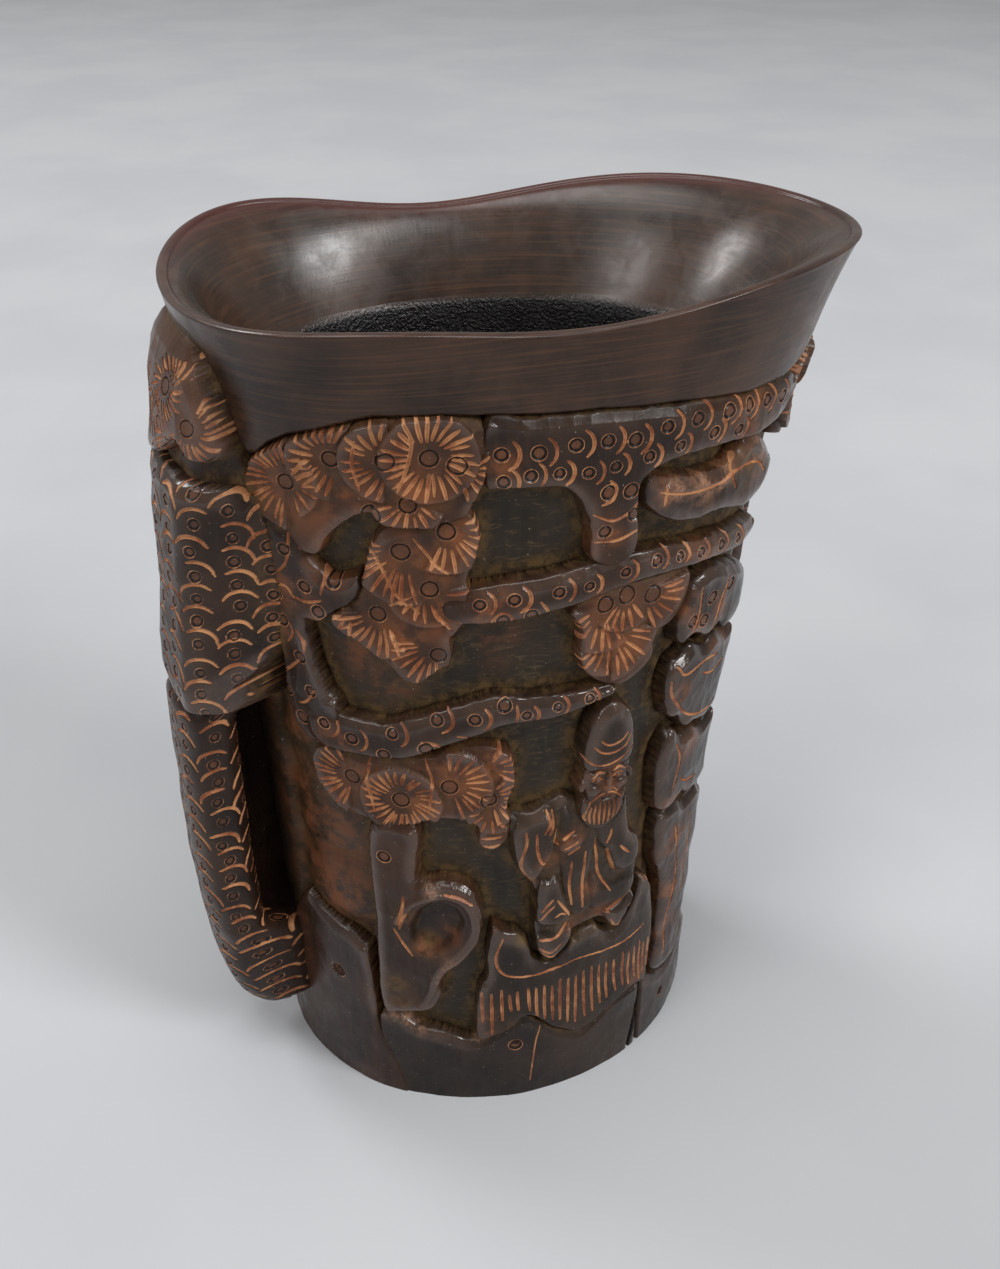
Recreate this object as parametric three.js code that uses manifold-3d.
import * as THREE from 'three';
import { mergeVertices } from 'three/addons/utils/BufferGeometryUtils.js';
import Module from 'manifold-3d';

const wasm = await Module();
wasm.setup();

// Carved horn libation cup: a lobed mouth, a trunk handle, and pine, rock and figure relief.
// Millimetres, +Z up. The spout points to +X, the carved front to -Y, and the foot stands at height 0.

// Overall sizes of the horn
const CUP_HEIGHT = 130;
const MOUTH_HALF_LENGTH = 46.2;
const MOUTH_HALF_WIDTH = 34.7;
const MOUTH_SHIFT = 5;
const FOOT_HALF_LENGTH = 34.7;
const FOOT_HALF_WIDTH = 30.1;
const RIM_WAVE = 0.9;
const LIP_THICKNESS = 2.2;
const LIP_CROWN = 0.5;

// The lobes of the mouth, as shares of its half length and half width, by rising harmonic
const MOUTH_LENGTH_WAVE_SHARES = [0.042, 0.065];
const MOUTH_WIDTH_WAVE_SHARES = [-0.055, 0.144, -0.034, 0.008];
const RIM_WAVE_SHARES = [0.7, 0.93, 0.32, -1];
const OVAL_WIDTH_SHARE = 0.88;
const LOBE_START_SHARE = 0.55;
const LOBE_POWER = 1.5;

// How the foot widens to the mouth: a slow swell all the way up and a quick flare at the lip
const SWELL_SHARE = 0.8;
const SWELL_POWER = 2.4;
const FLARE_POWER = 12;
const RIM_WAVE_POWER = 4;

// Carving depths
const GROUND_DEPTH = 2;
const COLLAR_STEP_SHARES = [0.908, 0.93];
const PROUD = 0.7;
const ROOT_PROUD = 1.6;
const SEAT_GAP = 0.3;
const UNDERCUT = 1;

// The well and the plug that closes the horn at the foot
const WELL_HALF_LENGTH = 31.6;
const WELL_HALF_WIDTH = 23.1;
const WELL_MOUTH_DROP = 15.1;
const WELL_FOOT_HALF_LENGTH = 19.5;
const WELL_FOOT_HALF_WIDTH = 16;
const PLUG_THICKNESS = 6;
const PLUG_LEDGE = 4;

// The handle, a trunk that stands off the wall
const HANDLE_ANGLE = -174;
const HANDLE_HALF_SPREAD = 11;
const HANDLE_FOOT_LEVEL = 9.5;
const HANDLE_FOOT_TILT = 2.5;
const HANDLE_HEAD_LEVEL = 74;
const HANDLE_REACH = 14;
const HANDLE_THICKNESS = 8.2;
const SLOT_BACK_SIDE_SHARE = -0.9;
const SLOT_FRONT_SIDE_SHARE = 0.3;
const SLOT_FOOT_LEVEL = 29;
const UNCUT_SPREAD = 8;
const CUT_SPREAD = 14;

// Tessellation
const COLUMNS = 64;
const OUTER_LEVEL_SHARES = [
  0, 0.1, 0.2, 0.3, 0.4, 0.5, 0.6, 0.69, 0.76, 0.82, 0.87, 0.908, 0.93, 0.95, 0.97, 0.985, 1,
];
const FLARE_SHARES = [0.12, 0.3, 0.5, 0.7, 0.86];
const FLARE_DROP_POWER = 1.7;
const WELL_SHARES = [0, 0.08, 0.3, 0.6, 1];

const toRadians = THREE.MathUtils.degToRad;
const mix = THREE.MathUtils.lerp;
const smoothstep = THREE.MathUtils.smoothstep;
const HALF_TURN = 180;

// The outline of the rim at an angle
function mouthOutline(angle) {
  const [longOne, longTwo] = MOUTH_LENGTH_WAVE_SHARES;
  const along = Math.cos(angle) + longOne * (Math.cos(2 * angle) - 1)
    + longTwo * (Math.cos(3 * angle) - Math.cos(angle));
  let across = Math.sin(angle);
  MOUTH_WIDTH_WAVE_SHARES.forEach((share, index) => {
    across += share * Math.sin((index + 2) * angle);
  });
  return [MOUTH_SHIFT + MOUTH_HALF_LENGTH * along, MOUTH_HALF_WIDTH * across];
}

// The smooth outside of the horn before carving
function hornPoint(angle, level) {
  const share = level / CUP_HEIGHT;
  const lobe = THREE.MathUtils.clamp((share - LOBE_START_SHARE) / (1 - LOBE_START_SHARE), 0, 1)
    ** LOBE_POWER;
  const [rimX, rimY] = mouthOutline(angle);
  const wideX = mix(MOUTH_SHIFT + MOUTH_HALF_LENGTH * Math.cos(angle), rimX, lobe);
  const wideY = mix(OVAL_WIDTH_SHARE * MOUTH_HALF_WIDTH * Math.sin(angle), rimY, lobe);
  const rise = Math.max(share, 0);
  const spread = SWELL_SHARE * rise ** SWELL_POWER + (1 - SWELL_SHARE) * rise ** FLARE_POWER;
  let wave = 0;
  RIM_WAVE_SHARES.forEach((size, index) => {
    wave += RIM_WAVE * size * Math.cos((index + 1) * angle);
  });
  return new THREE.Vector3(
    mix(FOOT_HALF_LENGTH * Math.cos(angle), wideX, spread),
    mix(FOOT_HALF_WIDTH * Math.sin(angle), wideY, spread),
    level + wave * rise ** RIM_WAVE_POWER,
  );
}

// Directions around and out of the horn's surface, by small differences
const ANGLE_NUDGE = 0.001;
const LEVEL_NUDGE_SHARE = 0.0005;

function hornAround(angle, level) {
  return hornPoint(angle + ANGLE_NUDGE, level).sub(hornPoint(angle - ANGLE_NUDGE, level))
    .divideScalar(2 * ANGLE_NUDGE);
}

function hornOutward(angle, level) {
  const nudge = LEVEL_NUDGE_SHARE * CUP_HEIGHT;
  const upward = hornPoint(angle, level + nudge).sub(hornPoint(angle, level - nudge));
  return hornAround(angle, level).cross(upward).normalize();
}

// How far round the cup an angle lies from the middle of the handle, in degrees
function fromHandle(angleDegrees) {
  const turned = THREE.MathUtils.euclideanModulo(angleDegrees - HANDLE_ANGLE + HALF_TURN, 2 * HALF_TURN);
  return Math.abs(turned - HALF_TURN);
}

// How deep the ground is cut below the collar's surface. The wall behind the handle keeps its full
// thickness.
function groundDepth(angleDegrees, level) {
  const [start, end] = COLLAR_STEP_SHARES;
  const below = 1 - smoothstep(level / CUP_HEIGHT, start, end);
  const clear = smoothstep(fromHandle(angleDegrees), UNCUT_SPREAD, CUT_SPREAD);
  return GROUND_DEPTH * below * clear;
}

// A point at a distance out of the smooth horn surface
function wallPoint(angleDegrees, level, out) {
  const angle = toRadians(angleDegrees);
  return hornPoint(angle, level).addScaledVector(hornOutward(angle, level), out);
}

// The height of a relief's underside, just clear of the ground
function seatDepth(angleDegrees, level) {
  return SEAT_GAP - groundDepth(angleDegrees, level);
}

// A value read from a table of [place, value] pairs
function readTable(table, place) {
  const next = Math.max(table.findIndex(([start]) => start > place), 1);
  const [[start, low], [end, high]] = [table[next - 1], table[next]];
  return THREE.MathUtils.mapLinear(THREE.MathUtils.clamp(place, start, end), start, end, low, high);
}

// How far the burl and the needles above it stand out: rounded on the far side, sloping to the front
const STAND_SHARES = [
  [0.56, 0.85], [0.63, 0.83], [0.69, 0.73], [0.77, 0.63], [0.83, 0.54], [0.89, 0.41], [0.94, 0.26],
  [0.98, 0.04],
];
const STAND_PEAK_ANGLE = -174;
const STAND_SPREAD = 19;
const STAND_POWER = 2.4;
const STAND_RAMP_START = -166;
const STAND_RAMP_END = -149.5;

function standReach(angleDegrees, level) {
  const side = THREE.MathUtils.clamp((STAND_PEAK_ANGLE - angleDegrees) / STAND_SPREAD, 0, 1);
  const slope = 1 - smoothstep(angleDegrees, STAND_RAMP_START, STAND_RAMP_END);
  const section = (1 - side ** STAND_POWER) ** (1 / STAND_POWER) * slope;
  return mix(PROUD, HANDLE_REACH * readTable(STAND_SHARES, level / CUP_HEIGHT), section);
}

// How far a sheet's end is moved along it: back at its start and on at its end
function endGrow(place, grow) {
  return (Number(place === 1) - Number(place === 0)) * grow;
}

// Millimetres along the wall for one degree of angle
function degreeLength(angleDegrees, level) {
  return toRadians(hornAround(toRadians(angleDegrees), level).length());
}

// A closed mesh as a solid that can be joined and cut
function solidFrom(positions, triangles) {
  const geometry = new THREE.BufferGeometry();
  geometry.setAttribute('position', new THREE.Float32BufferAttribute(positions, 3));
  geometry.setIndex(triangles);
  const merged = mergeVertices(geometry);
  const corners = Array.from(merged.index.array);
  const kept = corners.filter((_, index) => {
    const [a, b, c] = corners.slice(index - (index % 3), index - (index % 3) + 3);
    return a !== b && b !== c && c !== a;
  });
  return new wasm.Manifold(new wasm.Mesh({
    numProp: 3,
    vertProperties: new Float32Array(merged.attributes.position.array),
    triVerts: new Uint32Array(kept),
  }));
}

function listPoints(points) {
  return points.flatMap((point) => [point.x, point.y, point.z]);
}

// A solid between an outer and an inner sheet, both on one grid over the wall.
// sheets(u, v) gives [angle, level, inner distance, outer distance], u and v from 0 to 1.
function slabSolid(columns, rows, sheets) {
  const inner = [];
  const outer = [];
  for (let row = 0; row < rows; row += 1) {
    for (let column = 0; column < columns; column += 1) {
      const [angle, level, low, high] = sheets(column / (columns - 1), row / (rows - 1));
      inner.push(wallPoint(angle, level, low));
      outer.push(wallPoint(angle, level, high));
    }
  }
  const count = inner.length;
  const triangles = [];
  const quad = (a, b, c, d) => triangles.push(a, b, c, a, c, d);
  for (let row = 0; row < rows - 1; row += 1) {
    for (let column = 0; column < columns - 1; column += 1) {
      const here = row * columns + column;
      const above = here + columns;
      quad(count + here, count + here + 1, count + above + 1, count + above);
      quad(here, above, above + 1, here + 1);
    }
  }
  for (let column = 0; column < columns - 1; column += 1) {
    const top = (rows - 1) * columns + column;
    quad(column, column + 1, count + column + 1, count + column);
    quad(top + 1, top, count + top, count + top + 1);
  }
  for (let row = 0; row < rows - 1; row += 1) {
    const left = row * columns;
    const right = left + columns - 1;
    quad(left + columns, left, count + left, count + left + columns);
    quad(right, right + columns, count + right + columns, count + right);
  }
  return solidFrom(listPoints(inner.concat(outer)), triangles);
}

// The rounded section of a relief: low at its edges, full from the shoulders in
const EDGE_RISE_SHARE = 0.4;
const ROUNDING_POWER = 4;

function dome(place) {
  return EDGE_RISE_SHARE + (1 - EDGE_RISE_SHARE) * (1 - Math.abs(place) ** ROUNDING_POWER);
}

// A branch along the wall. Each path place is [angle, level share, width share, rise share].
const BRANCH_COLUMNS = 13;
const BRANCH_ROWS = 5;

function branchSolid({ pathShares, halfWidth, proud = PROUD }, grow) {
  const curve = new THREE.CatmullRomCurve3(
    pathShares.map(([angle, share]) => new THREE.Vector3(angle, share, 0)),
    false,
    'centripetal',
  );
  const sizes = new THREE.CatmullRomCurve3(
    pathShares.map(([, , width, rise]) => new THREE.Vector3(width, rise, 0)),
  );
  return slabSolid(BRANCH_COLUMNS, BRANCH_ROWS, (u, v) => {
    const place = curve.getPoint(u);
    const level = place.y * CUP_HEIGHT;
    const degree = degreeLength(place.x, level);
    const size = sizes.getPoint(u);
    const tangent = curve.getTangent(u);
    const heading = new THREE.Vector2(tangent.x * degree, tangent.y * CUP_HEIGHT).normalize();
    const side = (2 * v - 1) * (halfWidth * size.x + grow);
    const ahead = endGrow(u, grow);
    const angle = place.x + (heading.x * ahead - heading.y * side) / degree;
    const height = level + heading.y * ahead + heading.x * side;
    const low = seatDepth(angle, height);
    const rise = (proud * size.y - low) * dome(2 * v - 1);
    return [angle, height, low - UNDERCUT, low + rise + grow];
  });
}

// A rounded mound on the wall inside a closed outline of [angle, level share] places
const MOUND_SIDES = 16;
const MOUND_RING_SHARES = [0.45, 0.8, 1];

function moundSolid(spec, grow) {
  const { outlineShares, proud = PROUD, standing = false } = spec;
  const { sides = MOUND_SIDES, ringShares = MOUND_RING_SHARES } = spec;
  const middle = outlineShares.reduce(
    (sum, [angle, share]) => sum.add(new THREE.Vector2(angle, share)),
    new THREE.Vector2(),
  ).divideScalar(outlineShares.length);
  const centreLevel = middle.y * CUP_HEIGHT;
  const degree = degreeLength(middle.x, centreLevel);
  const curve = new THREE.CatmullRomCurve3(outlineShares.map(([angle, share]) => new THREE.Vector3(
    (angle - middle.x) * degree,
    share * CUP_HEIGHT - centreLevel,
    0,
  )), true);
  const rims = curve.getPoints(sides).slice(0, sides).map((point) => {
    point.setLength(point.length() + grow);
    return point;
  });
  const sheet = (high) => {
    const place = (across, up, ring) => {
      const height = centreLevel + up;
      const angle = middle.x + across / degree;
      const low = seatDepth(angle, height);
      const full = standing ? standReach(angle, height) : proud;
      const rise = (full - low) * dome(ring);
      const out = high ? low + rise + grow : low - UNDERCUT;
      return wallPoint(angle, height, out);
    };
    const points = [place(0, 0, 0)];
    ringShares.forEach((ring) => {
      rims.forEach((rim) => points.push(place(rim.x * ring, rim.y * ring, ring)));
    });
    return points;
  };
  const outer = sheet(true);
  const inner = sheet(false);
  const count = outer.length;
  const turn = signedArea(rims) > 0;
  const triangles = [];
  const face = (a, b, c) => (turn ? triangles.push(a, b, c) : triangles.push(a, c, b));
  const last = 1 + (ringShares.length - 1) * sides;
  for (let side = 0; side < sides; side += 1) {
    const next = (side + 1) % sides;
    face(0, 1 + side, 1 + next);
    face(count, count + 1 + next, count + 1 + side);
    for (let ring = 1; ring < ringShares.length; ring += 1) {
      const near = 1 + (ring - 1) * sides;
      const far = near + sides;
      face(near + side, far + side, far + next);
      face(near + side, far + next, near + next);
      face(count + near + side, count + far + next, count + far + side);
      face(count + near + side, count + near + next, count + far + next);
    }
    face(last + side, count + last + side, count + last + next);
    face(last + side, count + last + next, last + next);
  }
  return solidFrom(listPoints(outer.concat(inner)), triangles);
}

function signedArea(points) {
  return points.reduce((sum, point, index) => {
    const next = points[(index + 1) % points.length];
    return sum + point.x * next.y - next.x * point.y;
  }, 0);
}

// A needle cluster: overlapping round tufts. Each tuft is [angle, level share, radius share].
const TUFT_RADIUS = 5;
const TUFT_SIDES = 7;
const TUFT_RING_SHARES = [0.75, 1];

function clusterSolid({ tuftShares, proud = PROUD }, grow) {
  return wasm.Manifold.union(tuftShares.map(([angle, share, size]) => {
    const degree = degreeLength(angle, share * CUP_HEIGHT);
    const outlineShares = Array.from({ length: TUFT_SIDES }, (_, index) => {
      const turn = (2 * Math.PI * index) / TUFT_SIDES;
      return [
        angle + (TUFT_RADIUS * size * Math.cos(turn)) / degree,
        share + (TUFT_RADIUS * size * Math.sin(turn)) / CUP_HEIGHT,
      ];
    });
    const spec = { outlineShares, proud, sides: TUFT_SIDES, ringShares: TUFT_RING_SHARES };
    return moundSolid(spec, grow);
  }));
}

// A band of rock standing on the foot. Each crest place is [angle, level share of its top].
const BAND_COLUMNS = 20;
const BAND_ROWS = 3;

function bandSolid({ crestShares, proud = PROUD }, grow) {
  const curve = new THREE.CatmullRomCurve3(
    crestShares.map(([angle, share]) => new THREE.Vector3(angle, share * CUP_HEIGHT, 0)),
    false,
    'centripetal',
  );
  return slabSolid(BAND_COLUMNS, BAND_ROWS, (u, v) => {
    const top = curve.getPoint(u);
    const ahead = endGrow(u, grow);
    const level = v * (top.y + grow) - (1 - v) * grow;
    const angle = top.x + ahead;
    const low = seatDepth(angle, level);
    const rise = (proud - low) * dome(v) * dome(2 * u - 1);
    return [angle, level, low - UNDERCUT, low + rise + grow];
  });
}

// How far the handle's outer face stands off, by share of the handle's height
const HANDLE_REACH_SHARES = [
  [0, 0.5], [0.02, 0.64], [0.06, 0.76], [0.12, 0.86], [0.2, 0.93], [0.33, 0.98], [0.56, 1], [0.83, 0.945],
  [1, 0.88],
];
const HANDLE_ROOT_ROW_SHARES = [0, 0.06, 0.18, 0.36, 0.65, 1];
const HANDLE_GRIP_ROW_SHARES = [0.04, 0.2, 0.4, 0.6, 0.8, 1];
const HANDLE_COLUMNS = 9;
const HANDLE_EDGE_SHARE = 0.45;

// The trunk is rooted in the wall up to the slot. The slot behind it is a deep groove that is open to the
// carved front and closes toward the far side.
function handleSolid(grow) {
  const height = HANDLE_HEAD_LEVEL - HANDLE_FOOT_LEVEL;
  const slotShare = (SLOT_FOOT_LEVEL - HANDLE_FOOT_LEVEL) / height;
  const rows = HANDLE_ROOT_ROW_SHARES.map((share) => share * slotShare)
    .concat(HANDLE_GRIP_ROW_SHARES.map((share) => mix(slotShare, 1, share)));
  return slabSolid(HANDLE_COLUMNS, rows.length, (u, v) => {
    const share = rows[Math.round(v * (rows.length - 1))];
    const side = 2 * u - 1;
    const tilt = HANDLE_FOOT_TILT * side * (1 - smoothstep(share, 0, slotShare));
    const level = HANDLE_FOOT_LEVEL + share * height + tilt + endGrow(share, grow);
    const angle = HANDLE_ANGLE + side * (HANDLE_HALF_SPREAD + grow);
    const reach = HANDLE_REACH * readTable(HANDLE_REACH_SHARES, share);
    const seat = seatDepth(angle, level);
    const rooted = share <= slotShare;
    const open = rooted ? 0 : smoothstep(side, SLOT_BACK_SIDE_SHARE, SLOT_FRONT_SIDE_SHARE);
    const inner = mix(seat - UNDERCUT, reach - HANDLE_THICKNESS, open);
    const edge = (1 - HANDLE_EDGE_SHARE) * Math.abs(side) ** ROUNDING_POWER * HANDLE_THICKNESS / 2;
    return [angle, level, inner + edge * open - grow, reach - edge + grow];
  });
}

// The burl above the slot, where the handle joins the wall and the boughs begin
const BURL_START_ANGLE = -190;
const BURL_END_ANGLE = -148;
const BURL_TOP_SHARE = 0.825;
const BURL_COLUMNS = 14;
const BURL_ROWS = 6;

function burlSolid(grow) {
  const foot = HANDLE_HEAD_LEVEL + SEAT_GAP;
  const top = BURL_TOP_SHARE * CUP_HEIGHT;
  return slabSolid(BURL_COLUMNS, BURL_ROWS, (u, v) => {
    const angle = mix(BURL_START_ANGLE, BURL_END_ANGLE, u) + endGrow(u, grow);
    const level = mix(foot - grow, top + grow, v);
    const low = seatDepth(angle, level);
    const rise = (standReach(angle, level) - low) * dome(Math.max(2 * v - 1, 0));
    return [angle, level, low - UNDERCUT, low + rise + grow];
  });
}

// The cup: one closed surface up the outside, over the lip, down the well and back under the foot
function ellipsePoint(angle, halfLength, halfWidth, level) {
  return new THREE.Vector3(halfLength * Math.cos(angle), halfWidth * Math.sin(angle), level);
}

function outsideRing(share, out) {
  return (angle) => {
    const level = share * CUP_HEIGHT;
    const angleDegrees = THREE.MathUtils.radToDeg(angle);
    return wallPoint(angleDegrees, level, out - groundDepth(angleDegrees, level));
  };
}

function cupRings() {
  const outside = OUTER_LEVEL_SHARES.map((share) => outsideRing(share, 0));
  const lipInside = (angle) => {
    const point = hornPoint(angle, CUP_HEIGHT);
    const outward = hornOutward(angle, CUP_HEIGHT).setZ(0).normalize();
    return point.addScaledVector(outward, -LIP_THICKNESS);
  };
  const lipCrown = (angle) => lipInside(angle).lerp(hornPoint(angle, CUP_HEIGHT), 1 / 2)
    .add(new THREE.Vector3(0, 0, LIP_CROWN));
  const wellLevel = CUP_HEIGHT - WELL_MOUTH_DROP;
  const flare = FLARE_SHARES.map((share) => (angle) => {
    const lip = lipInside(angle);
    const well = ellipsePoint(angle, WELL_HALF_LENGTH, WELL_HALF_WIDTH, wellLevel);
    const point = lip.clone().lerp(well, share);
    return point.setZ(mix(lip.z, wellLevel, share ** FLARE_DROP_POWER));
  });
  const well = WELL_SHARES.map((share) => (angle) => ellipsePoint(
    angle,
    mix(WELL_HALF_LENGTH, WELL_FOOT_HALF_LENGTH, share),
    mix(WELL_HALF_WIDTH, WELL_FOOT_HALF_WIDTH, share),
    mix(wellLevel, PLUG_THICKNESS, share),
  ));
  const ledge = [PLUG_THICKNESS, 0].map((level) => (angle) => ellipsePoint(
    angle,
    WELL_FOOT_HALF_LENGTH + PLUG_LEDGE,
    WELL_FOOT_HALF_WIDTH + PLUG_LEDGE,
    level,
  ));
  return [...outside, lipCrown, lipInside, ...flare, ...well, ...ledge];
}

// A solid whose surface runs through rings of points and closes from the last ring to the first
function ringSolid(rings) {
  const points = rings.flatMap((ring) => Array.from(
    { length: COLUMNS },
    (_, column) => ring((2 * Math.PI * column) / COLUMNS),
  ));
  const triangles = [];
  rings.forEach((_, row) => {
    const nextRow = (row + 1) % rings.length;
    for (let column = 0; column < COLUMNS; column += 1) {
      const nextColumn = (column + 1) % COLUMNS;
      const a = row * COLUMNS + column;
      const b = row * COLUMNS + nextColumn;
      const c = nextRow * COLUMNS + nextColumn;
      const d = nextRow * COLUMNS + column;
      triangles.push(a, b, c, a, c, d);
    }
  });
  return solidFrom(listPoints(points), triangles);
}

// The space that the cut ground and its gap take from every relief
function groundCutter() {
  const shares = [-UNDERCUT / CUP_HEIGHT, ...OUTER_LEVEL_SHARES];
  const outside = shares.map((share) => outsideRing(share, SEAT_GAP));
  const below = () => new THREE.Vector3(0, 0, -UNDERCUT);
  const above = () => new THREE.Vector3(0, 0, CUP_HEIGHT);
  return ringSolid([below, ...outside, above]);
}

// The plug: a flat oval disc let into the ledge under the well
function plugSolid() {
  const fit = PLUG_LEDGE - SEAT_GAP;
  const plug = new THREE.CylinderGeometry(1, 1, PLUG_THICKNESS - SEAT_GAP, COLUMNS / 2);
  plug.rotateX(Math.PI / 2);
  plug.scale(WELL_FOOT_HALF_LENGTH + fit, WELL_FOOT_HALF_WIDTH + fit, 1);
  plug.translate(0, 0, (PLUG_THICKNESS - SEAT_GAP) / 2);
  plug.deleteAttribute('normal');
  plug.deleteAttribute('uv');
  const merged = mergeVertices(plug);
  return solidFrom(merged.attributes.position.array, Array.from(merged.index.array));
}

// Where each relief lies. Angles are in degrees and heights are shares of the cup's height.

const HANDLE_NEEDLES = {
  standing: true,
  ringShares: [0.25, 0.5, 0.75, 0.92, 1],
  outlineShares: [
    [-191, 0.87], [-191, 0.93], [-186, 0.962], [-176, 0.974], [-167, 0.971], [-161.5, 0.947],
    [-158.3, 0.9], [-156, 0.845], [-163, 0.834], [-176, 0.836], [-187, 0.842],
  ],
};

const UPPER_NEEDLES = {
  tuftShares: [
    [-149, 0.845, 0.9], [-143, 0.855, 0.95], [-136, 0.875, 0.9], [-127, 0.88, 0.95], [-117, 0.885, 1.15],
    [-138, 0.825, 0.7], [-111, 0.865, 0.7],
  ],
};

const MIDDLE_NEEDLES = {
  tuftShares: [
    [-121, 0.82, 0.9], [-114.5, 0.805, 0.9], [-124, 0.77, 1], [-117, 0.74, 0.9], [-127, 0.71, 0.9],
    [-120, 0.685, 0.85], [-115.5, 0.68, 0.6],
  ],
};

const RIGHT_NEEDLES = {
  tuftShares: [[-83, 0.7, 0.85], [-75.5, 0.705, 0.75], [-69, 0.69, 0.75], [-76, 0.645, 0.8]],
};

const LOWER_NEEDLES = {
  tuftShares: [
    [-140.5, 0.495, 0.85], [-133, 0.5, 0.9], [-125, 0.485, 1.15], [-114, 0.5, 1.15], [-104.5, 0.525, 0.8],
    [-104, 0.475, 0.75], [-104.5, 0.44, 0.6],
  ],
};

const UPPER_BRANCH = {
  halfWidth: 4.6,
  pathShares: [
    [-107.5, 0.885, 0.85, 0.8], [-98, 0.885, 1, 1], [-87, 0.884, 1, 1], [-76, 0.886, 0.78, 1],
    [-65, 0.884, 0.68, 1], [-54, 0.871, 0.66, 1], [-43, 0.86, 0.6, 0.9], [-33, 0.852, 0.45, 0.8],
  ],
};

const BRANCH_LINK = {
  halfWidth: 3,
  pathShares: [[-82, 0.87, 1, 1], [-81.5, 0.831, 1, 1], [-81.5, 0.8, 1, 1], [-82, 0.75, 1, 1]],
};

const MIDDLE_BRANCH = {
  halfWidth: 2.9,
  pathShares: [
    [-111, 0.731, 0.75, 0.8], [-102, 0.73, 1, 1], [-92, 0.736, 0.9, 1], [-84, 0.742, 0.85, 1],
    [-74, 0.745, 0.7, 1], [-64, 0.736, 0.62, 1], [-54, 0.727, 0.6, 1], [-44, 0.718, 0.55, 0.9],
    [-37, 0.715, 0.4, 0.8],
  ],
};

const LOWER_BRANCH = {
  halfWidth: 3.2,
  pathShares: [
    [-138.5, 0.56, 1.05, 1], [-129, 0.557, 1, 1], [-120, 0.571, 0.95, 1], [-111, 0.586, 0.95, 1],
    [-103, 0.597, 0.88, 1], [-95, 0.596, 0.72, 1], [-87, 0.598, 0.6, 1], [-80, 0.602, 0.42, 0.8],
  ],
};

const FRONT_UPPER_LIMB = {
  outlineShares: [
    [-147.6, 0.7], [-147.6, 0.745], [-147.6, 0.79], [-141, 0.792], [-134.5, 0.77], [-134.8, 0.715],
    [-141, 0.685],
  ],
};

const FRONT_LOWER_LIMB = {
  outlineShares: [
    [-147.6, 0.57], [-147.6, 0.64], [-147.4, 0.72], [-143.5, 0.71], [-141, 0.65], [-138.6, 0.595],
    [-137.8, 0.57], [-139, 0.545], [-144, 0.55],
  ],
};

const SAGE_HEAD = {
  proud: 1.4,
  outlineShares: [
    [-85, 0.475], [-85.3, 0.53], [-83, 0.57], [-78, 0.588], [-74, 0.573], [-72.3, 0.53], [-72.8, 0.475],
    [-75, 0.445], [-78.5, 0.437], [-82.5, 0.447],
  ],
};

const SAGE_ROBE = {
  proud: 1,
  outlineShares: [
    [-101, 0.447], [-96, 0.465], [-88, 0.46], [-78, 0.45], [-70.5, 0.435], [-68, 0.4], [-65, 0.355],
    [-63.5, 0.31], [-65, 0.268], [-78, 0.26], [-93, 0.262], [-97, 0.3], [-99, 0.36], [-101.5, 0.41],
  ],
};

const FRINGED_MAT = {
  halfWidth: 11,
  pathShares: [[-104.5, 0.19, 0.9, 0.6], [-92, 0.19, 1, 0.6], [-74, 0.192, 1, 0.6], [-57, 0.205, 0.95, 0.6]],
};

const STUMP_CROWN = {
  proud: 1,
  outlineShares: [
    [-128, 0.285], [-127, 0.32], [-122, 0.36], [-114, 0.365], [-108, 0.345], [-106.5, 0.3], [-107.5, 0.25],
    [-112, 0.205], [-118, 0.17], [-124, 0.165], [-128, 0.195], [-129.5, 0.24],
  ],
};

const STUMP_STEM = {
  halfWidth: 3.6,
  pathShares: [[-128, 0.24, 0.8, 0.7], [-130, 0.33, 1, 0.8], [-130.5, 0.425, 0.9, 0.6]],
};

const CLOUD_ROCK = {
  proud: 1.2,
  outlineShares: [
    [-77, 0.815], [-74, 0.842], [-65, 0.835], [-55, 0.828], [-45, 0.812], [-38, 0.79], [-40, 0.77],
    [-50, 0.77], [-60, 0.778], [-70, 0.782], [-76, 0.79],
  ],
};

const DRILLED_ROCK = {
  proud: 1.2,
  outlineShares: [
    [-61, 0.655], [-57, 0.685], [-49, 0.695], [-41, 0.682], [-37, 0.65], [-42, 0.622], [-50, 0.612],
    [-58, 0.622],
  ],
};

const SMOOTH_ROCK_UPPER = {
  proud: 1.2,
  outlineShares: [
    [-64, 0.575], [-58, 0.598], [-49, 0.6], [-41, 0.585], [-37, 0.547], [-42, 0.51], [-50, 0.508],
    [-59, 0.532],
  ],
};

const SMOOTH_ROCK_LOWER = {
  proud: 1.2,
  outlineShares: [
    [-61, 0.44], [-57, 0.473], [-49, 0.482], [-41, 0.468], [-37.5, 0.43], [-42, 0.393], [-50, 0.388],
    [-58, 0.4],
  ],
};

const SLOPE_ROCK = {
  proud: 1,
  outlineShares: [
    [-55, 0.27], [-54, 0.33], [-48, 0.368], [-40, 0.36], [-35.5, 0.3], [-37, 0.2], [-41, 0.125],
    [-48, 0.13], [-53, 0.2],
  ],
};

const TRUNK_ROOT_CREST_SHARES = [
  [-200, 0.19], [-190, 0.23], [-176, 0.25], [-162, 0.28], [-150, 0.262], [-142, 0.25], [-136, 0.2],
];

const FRONT_FOOT_CREST_SHARES = [
  [-135.4, 0.1], [-131, 0.138], [-125, 0.124], [-117, 0.116], [-110, 0.106], [-100, 0.13], [-95, 0.14],
  [-88, 0.108], [-80, 0.087], [-73, 0.106], [-65, 0.118], [-60, 0.108],
];

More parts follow.
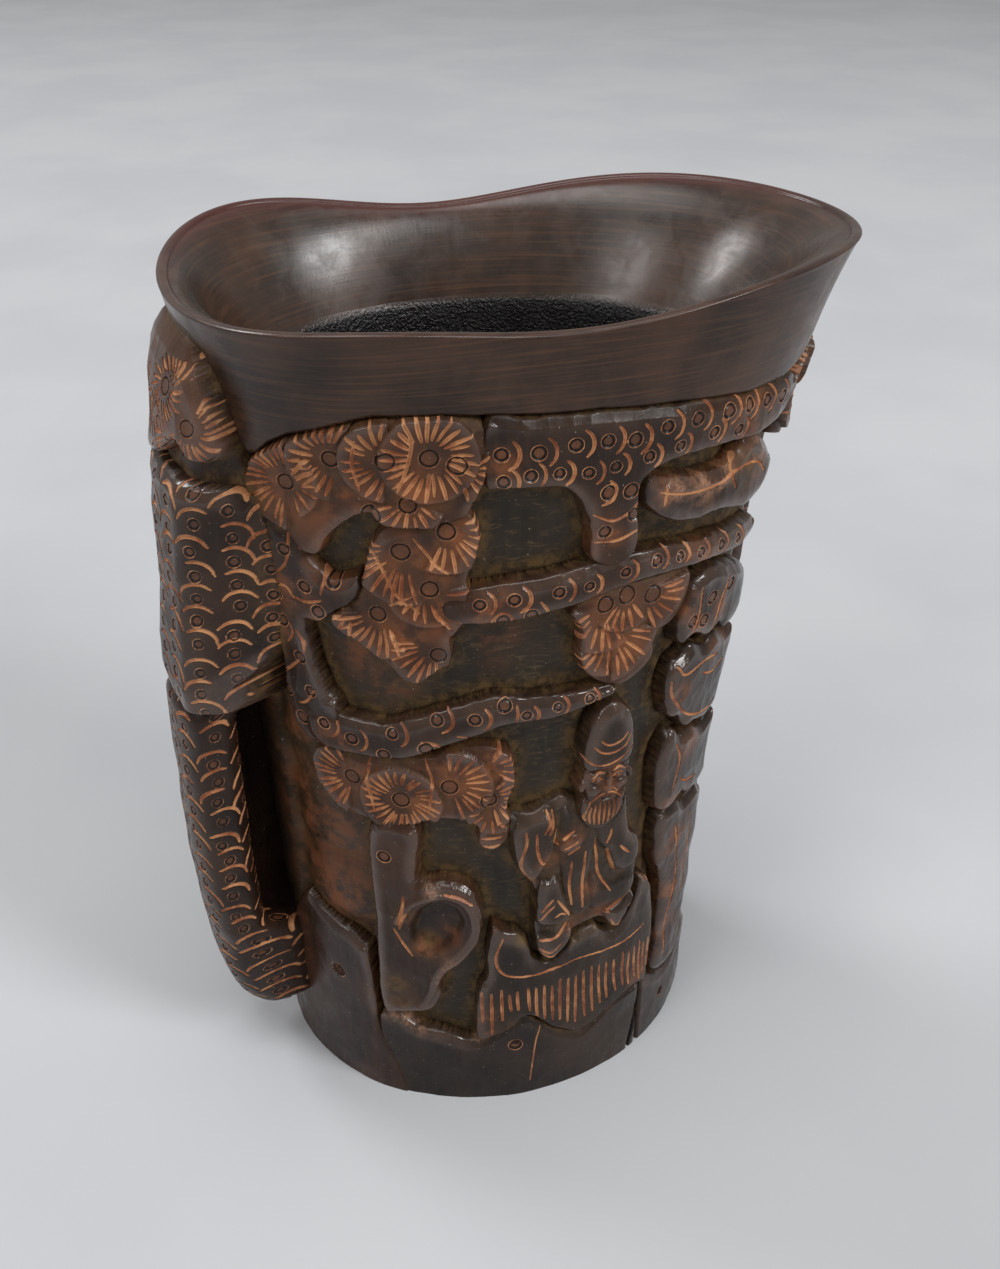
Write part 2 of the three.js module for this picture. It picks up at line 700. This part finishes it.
const SPOUT_FOOT_CREST_SHARES = [
  [-59.4, 0.115], [-50, 0.092], [-42, 0.088], [-30, 0.12], [-18, 0.09], [-5, 0.125], [10, 0.095],
  [22, 0.12], [35, 0.1],
];

const REAR_FOOT_CREST_SHARES = [
  [35.6, 0.1], [48, 0.13], [60, 0.1], [75, 0.125], [90, 0.095], [105, 0.13], [120, 0.1], [135, 0.125],
  [148, 0.11], [159.4, 0.13],
];

// The far side, which the photograph doesn't show, repeats the same family of forms

const SPOUT_BOUGH = {
  halfWidth: 4.6,
  pathShares: [
    [-6, 0.15, 1, 1], [-10, 0.3, 1, 1], [-3, 0.45, 0.95, 1], [-9, 0.6, 0.9, 1], [-4, 0.74, 0.8, 1],
    [-6, 0.84, 0.7, 1],
  ],
};

const SPOUT_NEEDLES = {
  tuftShares: [
    [-22, 0.865, 1], [-14, 0.885, 1], [-5, 0.89, 1], [4, 0.885, 1], [12, 0.865, 1], [-28, 0.835, 0.8],
  ],
};

const REAR_BOUGH = {
  halfWidth: 9.5,
  pathShares: [[169.6, 0.69, 1.1, 1.2], [160, 0.69, 0.85, 1], [151, 0.7, 0.6, 1], [143, 0.705, 0.5, 1]],
};

const REAR_UPPER_BRANCH = {
  halfWidth: 4,
  pathShares: [
    [142.4, 0.705, 1.1, 1], [134, 0.74, 1, 1], [122, 0.77, 1, 1], [106, 0.775, 1, 1], [90, 0.8, 0.9, 1],
    [74, 0.85, 0.8, 1], [58, 0.86, 0.7, 1], [42, 0.865, 0.5, 0.9],
  ],
};

const REAR_LOWER_BRANCH = {
  halfWidth: 3.4,
  pathShares: [
    [152, 0.625, 1, 1], [140, 0.57, 1, 1], [126, 0.56, 1, 1], [110, 0.59, 0.95, 1], [94, 0.6, 0.85, 1],
    [78, 0.575, 0.75, 1], [64, 0.57, 0.5, 0.9],
  ],
};

const REAR_UPPER_NEEDLES = {
  tuftShares: [
    [148, 0.85, 0.9], [140, 0.87, 1], [130, 0.865, 1.05], [121, 0.88, 0.9], [112, 0.87, 1.05],
    [103, 0.86, 0.8],
  ],
};

const REAR_MIDDLE_NEEDLES = {
  tuftShares: [[92, 0.71, 0.95], [84, 0.69, 0.9], [76, 0.715, 0.95], [68, 0.69, 0.8]],
};

const REAR_LOWER_NEEDLES = {
  tuftShares: [[126, 0.475, 0.9], [117, 0.49, 1.1], [107, 0.48, 1], [98, 0.5, 0.9], [112, 0.43, 0.7]],
};

const REAR_CLIFF_UPPER = {
  proud: 1.2,
  outlineShares: [
    [22, 0.66], [26, 0.73], [36, 0.76], [48, 0.74], [54, 0.68], [50, 0.61], [38, 0.57], [27, 0.59],
  ],
};

const REAR_CLIFF_MIDDLE = {
  proud: 1.2,
  outlineShares: [
    [18, 0.42], [22, 0.49], [34, 0.53], [47, 0.51], [54, 0.44], [50, 0.36], [36, 0.32], [23, 0.34],
  ],
};

const REAR_CLIFF_LOWER = {
  proud: 1.2,
  outlineShares: [
    [60, 0.27], [64, 0.36], [76, 0.4], [90, 0.37], [96, 0.28], [90, 0.2], [76, 0.175], [65, 0.19],
  ],
};

const REAR_STUMP = {
  proud: 1.2,
  outlineShares: [
    [132, 0.25], [134, 0.33], [141, 0.38], [150, 0.37], [155, 0.3], [152, 0.22], [145, 0.18], [136, 0.19],
  ],
};

// Every relief in the order that it is carved: each later one is cut back around the earlier ones
const RELIEFS = [
  ['handle_trunk', 'trunk', handleSolid],
  ['handle_burl', 'trunk', burlSolid],
  ['handle_needle_cluster', 'needles', (grow) => moundSolid(HANDLE_NEEDLES, grow)],
  ['front_bough', 'trunk', (grow) => wasm.Manifold.union([
    moundSolid(FRONT_UPPER_LIMB, grow),
    moundSolid(FRONT_LOWER_LIMB, grow),
  ])],
  ['rear_bough', 'trunk', (grow) => branchSolid(REAR_BOUGH, grow)],
  ['upper_needle_cluster', 'needles', (grow) => clusterSolid(UPPER_NEEDLES, grow)],
  ['middle_needle_cluster', 'needles', (grow) => clusterSolid(MIDDLE_NEEDLES, grow)],
  ['right_needle_cluster', 'needles', (grow) => clusterSolid(RIGHT_NEEDLES, grow)],
  ['lower_needle_cluster', 'needles', (grow) => clusterSolid(LOWER_NEEDLES, grow)],
  ['upper_branch', 'trunk', (grow) => wasm.Manifold.union([
    branchSolid(UPPER_BRANCH, grow),
    branchSolid(BRANCH_LINK, grow),
  ])],
  ['middle_branch', 'trunk', (grow) => branchSolid(MIDDLE_BRANCH, grow)],
  ['lower_branch', 'trunk', (grow) => branchSolid(LOWER_BRANCH, grow)],
  ['sage_head', 'figure', (grow) => moundSolid(SAGE_HEAD, grow)],
  ['sage_robe', 'figure', (grow) => moundSolid(SAGE_ROBE, grow)],
  ['front_foot_rocks', 'rock', (grow) => bandSolid({ crestShares: FRONT_FOOT_CREST_SHARES }, grow)],
  ['spout_foot_rocks', 'rock', (grow) => bandSolid({ crestShares: SPOUT_FOOT_CREST_SHARES }, grow)],
  ['rear_foot_rocks', 'rock', (grow) => bandSolid({ crestShares: REAR_FOOT_CREST_SHARES }, grow)],
  ['trunk_root', 'root', (grow) => bandSolid(
    { crestShares: TRUNK_ROOT_CREST_SHARES, proud: ROOT_PROUD },
    grow,
  )],
  ['fringed_mat', 'figure', (grow) => branchSolid(FRINGED_MAT, grow)],
  ['hollow_stump', 'root', (grow) => wasm.Manifold.union([
    moundSolid(STUMP_CROWN, grow),
    branchSolid(STUMP_STEM, grow),
  ])],
  ['cloud_rock', 'rock', (grow) => moundSolid(CLOUD_ROCK, grow)],
  ['drilled_rock', 'rock', (grow) => moundSolid(DRILLED_ROCK, grow)],
  ['smooth_rock_upper', 'rock', (grow) => moundSolid(SMOOTH_ROCK_UPPER, grow)],
  ['smooth_rock_lower', 'rock', (grow) => moundSolid(SMOOTH_ROCK_LOWER, grow)],
  ['slope_rock', 'rock', (grow) => moundSolid(SLOPE_ROCK, grow)],
  ['spout_needle_cluster', 'needles', (grow) => clusterSolid(SPOUT_NEEDLES, grow)],
  ['spout_bough', 'trunk', (grow) => branchSolid(SPOUT_BOUGH, grow)],
  ['rear_upper_needle_cluster', 'needles', (grow) => clusterSolid(REAR_UPPER_NEEDLES, grow)],
  ['rear_middle_needle_cluster', 'needles', (grow) => clusterSolid(REAR_MIDDLE_NEEDLES, grow)],
  ['rear_lower_needle_cluster', 'needles', (grow) => clusterSolid(REAR_LOWER_NEEDLES, grow)],
  ['rear_upper_branch', 'trunk', (grow) => branchSolid(REAR_UPPER_BRANCH, grow)],
  ['rear_lower_branch', 'trunk', (grow) => branchSolid(REAR_LOWER_BRANCH, grow)],
  ['rear_cliff_upper', 'rock', (grow) => moundSolid(REAR_CLIFF_UPPER, grow)],
  ['rear_cliff_middle', 'rock', (grow) => moundSolid(REAR_CLIFF_MIDDLE, grow)],
  ['rear_cliff_lower', 'rock', (grow) => moundSolid(REAR_CLIFF_LOWER, grow)],
  ['rear_stump', 'root', (grow) => moundSolid(REAR_STUMP, grow)],
];

// Horn finishes, by the kind of carving
const FINISHES = {
  cup: { color: '#3a2c26', roughness: 0.32 },
  plug: { color: '#2c2420', roughness: 0.45 },
  trunk: { color: '#46382f', roughness: 0.42 },
  needles: { color: '#7d4f38', roughness: 0.55 },
  figure: { color: '#40342c', roughness: 0.4 },
  rock: { color: '#332a26', roughness: 0.38 },
  root: { color: '#4d3428', roughness: 0.4 },
};

function largestBody(solid) {
  return solid.decompose().reduce((best, body) => (body.volume() > best.volume() ? body : best));
}

function meshFrom(name, finish, solid) {
  const { vertProperties, triVerts, numProp } = solid.getMesh();
  const geometry = new THREE.BufferGeometry();
  const positions = new THREE.BufferAttribute(new Float32Array(vertProperties), numProp);
  geometry.setAttribute('position', positions);
  geometry.setIndex(Array.from(triVerts));
  geometry.computeVertexNormals();
  const material = new THREE.MeshStandardMaterial({ ...FINISHES[finish], metalness: 0 });
  const mesh = new THREE.Mesh(geometry, material);
  mesh.name = name;
  return mesh;
}

function carvedReliefs() {
  const cutters = [groundCutter()];
  return RELIEFS.map(([name, finish, build]) => {
    const solid = build(0).subtract(wasm.Manifold.union(cutters));
    cutters.push(build(SEAT_GAP));
    return meshFrom(name, finish, largestBody(solid));
  });
}

const cup = new THREE.Group();
cup.add(meshFrom('cup_body', 'cup', ringSolid(cupRings())));
cup.add(meshFrom('foot_plug', 'plug', plugSolid()));
cup.add(...carvedReliefs());

export default cup;
